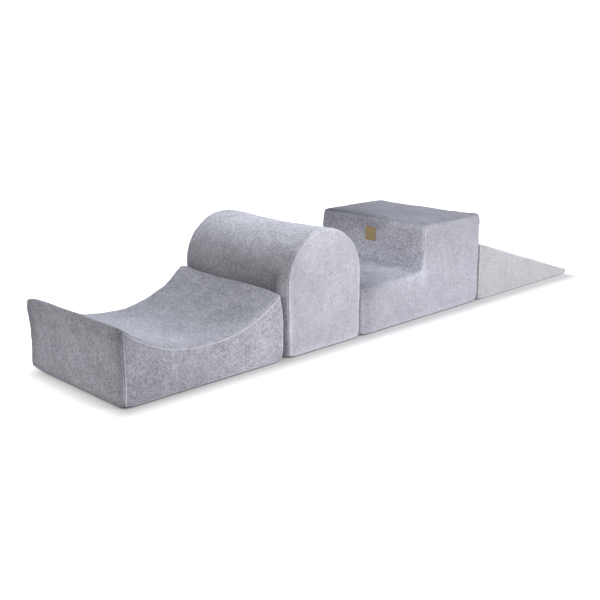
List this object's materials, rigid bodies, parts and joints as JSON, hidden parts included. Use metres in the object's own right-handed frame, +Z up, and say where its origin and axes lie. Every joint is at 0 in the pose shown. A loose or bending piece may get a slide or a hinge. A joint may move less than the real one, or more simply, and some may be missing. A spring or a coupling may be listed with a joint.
{
  "type": "soft play foam climber",
  "caption": "Row of soft foam play blocks in grey velvet covers: a dipped valley, a round hump, a pair of steps and a wedge ramp, for climbing and crawling.",
  "frame": {"origin": "on the floor, at the centre of the row's footprint", "axes": "+Z up; +X along the row, from the dipped valley to the thin end of the wedge; +Y towards the far sides, which hold the zips"},
  "size_m": [2.698, 0.6, 0.465],
  "materials": {
    "velvet": "short mottled velvet pile in cool grey, matt",
    "base_cloth": "plain woven grey cloth, matt",
    "foam": "open-cell polyurethane foam",
    "zip_tape": "woven polyester tape",
    "zip_teeth": "moulded nylon",
    "zip_slider": "plated, worn smooth",
    "tag_leather": "tan leather, lightly grained"
  },
  "bodies": {
    "steps_block": {"steps_foam": "foam", "steps_cover_top": "velvet", "steps_cover_near_side": "velvet", "steps_cover_far_side": "velvet", "steps_cover_base": "base_cloth", "steps_zip_upper_tape": "zip_tape", "steps_zip_lower_tape": "zip_tape", "steps_zip_teeth": "zip_teeth", "steps_tag": "tag_leather"},
    "hump_block": {"hump_foam": "foam", "hump_cover_top": "velvet", "hump_cover_near_side": "velvet", "hump_cover_far_side": "velvet", "hump_cover_base": "base_cloth", "hump_zip_upper_tape": "zip_tape", "hump_zip_lower_tape": "zip_tape", "hump_zip_teeth": "zip_teeth"},
    "valley_block": {"valley_foam": "foam", "valley_cover_top": "velvet", "valley_cover_near_side": "velvet", "valley_cover_far_side": "velvet", "valley_cover_base": "base_cloth", "valley_zip_upper_tape": "zip_tape", "valley_zip_lower_tape": "zip_tape", "valley_zip_teeth": "zip_teeth"},
    "wedge_block": {"wedge_foam": "foam", "wedge_cover_top": "velvet", "wedge_cover_near_side": "velvet", "wedge_cover_far_side": "velvet", "wedge_cover_base": "base_cloth", "wedge_zip_upper_tape": "zip_tape", "wedge_zip_lower_tape": "zip_tape", "wedge_zip_teeth": "zip_teeth"},
    "steps_slider": {"steps_zip_slider": "zip_slider"},
    "hump_slider": {"hump_zip_slider": "zip_slider"},
    "valley_slider": {"valley_zip_slider": "zip_slider"},
    "wedge_slider": {"wedge_zip_slider": "zip_slider"}
  },
  "joints": [
    {"name": "hump_away", "type": "slide", "parent": "steps_block", "child": "hump_block", "axis": [-1, 0, 0], "range_m": [0, 0.3]},
    {"name": "valley_away", "type": "slide", "parent": "hump_block", "child": "valley_block", "axis": [-1, 0, 0], "range_m": [0, 0.3]},
    {"name": "wedge_away", "type": "slide", "parent": "steps_block", "child": "wedge_block", "axis": [1, 0, 0], "range_m": [0, 0.3]},
    {"name": "steps_zip", "type": "slide", "parent": "steps_block", "child": "steps_slider", "axis": [-1, 0, 0], "range_m": [0, 0.638]},
    {"name": "hump_zip", "type": "slide", "parent": "hump_block", "child": "hump_slider", "axis": [-1, 0, 0], "range_m": [0, 0.238]},
    {"name": "valley_zip", "type": "slide", "parent": "valley_block", "child": "valley_slider", "axis": [-1, 0, 0], "range_m": [0, 0.528]},
    {"name": "wedge_zip", "type": "slide", "parent": "wedge_block", "child": "wedge_slider", "axis": [-1, 0, 0], "range_m": [0, 0.544]}
  ]
}
